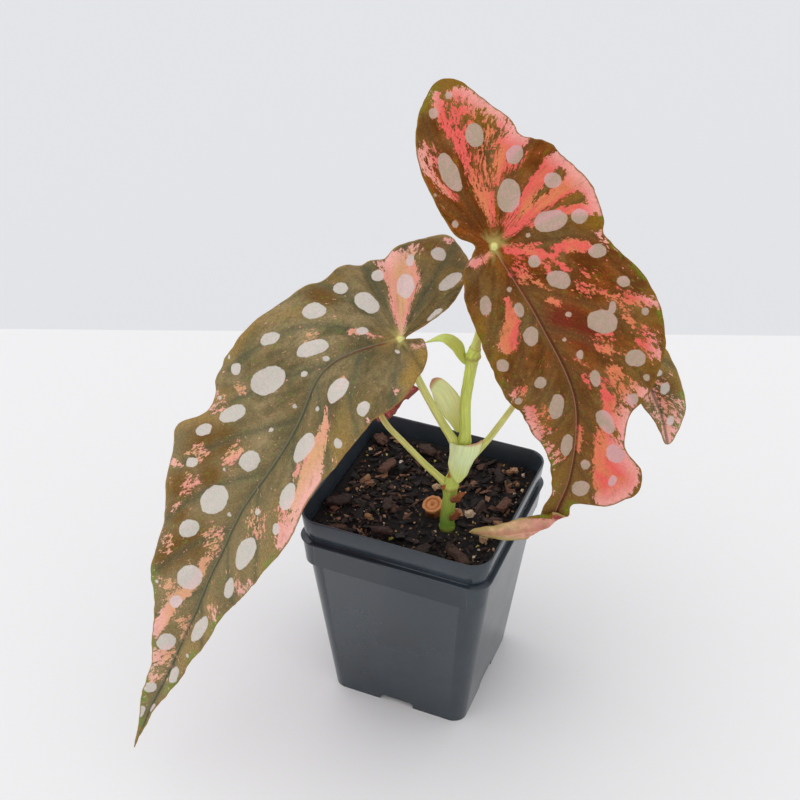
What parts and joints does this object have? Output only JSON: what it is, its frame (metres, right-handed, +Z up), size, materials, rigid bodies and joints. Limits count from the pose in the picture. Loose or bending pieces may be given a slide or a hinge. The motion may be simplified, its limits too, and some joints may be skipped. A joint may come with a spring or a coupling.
{
  "type": "potted polka dot begonia",
  "caption": "Young angel-wing begonia with silver-spotted bronze, olive and pink leaves, rooted in bark mix in a square nursery pot.",
  "frame": {"origin": "on the surface the pot stands on, under the middle of the whole plant's box", "axes": "+Z up, the pot's front wall faces -Y, the drooping leaf hangs forward to -X and -Y, the upper leaf to +X"},
  "size_m": [0.1942, 0.181, 0.294],
  "materials": {
    "pot_plastic": "moulded polypropylene, fine satin",
    "bark_mix": "damp shredded bark and coir",
    "bark": "rough broken bark",
    "pumice": "porous, matt",
    "stem": "waxy green skin",
    "callus": "corky cut end",
    "stipule": "thin, papery",
    "dry_stipule": "dry, brown",
    "leaf_bronze": "satin leaf, pink variegation and silver spots",
    "leaf_olive": "satin leaf, silver spots"
  },
  "bodies": {
    "root": {"pot": "pot_plastic", "potting_mix": "bark_mix", "cane": "stem", "cutting_stub": "callus", "petiole_upper": "stem", "petiole_drooping": "stem", "petiole_small": "stem", "petiole_right": "stem", "leaf_upper": "leaf_bronze", "leaf_drooping": "leaf_olive", "leaf_small": "leaf_olive", "leaf_right": "leaf_olive", "stipule_top": "stipule", "stipule_large": "stipule", "stipule_collar": "stipule", "stipule_dry_upper": "dry_stipule", "stipule_dry_lower": "dry_stipule", "bark_chip_01": "bark", "bark_chip_02": "bark", "bark_chip_03": "bark", "bark_chip_04": "bark", "bark_chip_05": "bark", "bark_chip_06": "bark", "bark_chip_07": "bark", "bark_chip_08": "bark", "bark_chip_09": "bark", "bark_chip_10": "bark", "bark_chip_11": "bark", "bark_chip_12": "bark", "pumice_chip_01": "pumice", "pumice_chip_02": "pumice", "pumice_chip_03": "pumice", "pumice_chip_04": "pumice", "pumice_chip_05": "pumice", "pumice_chip_06": "pumice"}
  },
  "joints": []
}
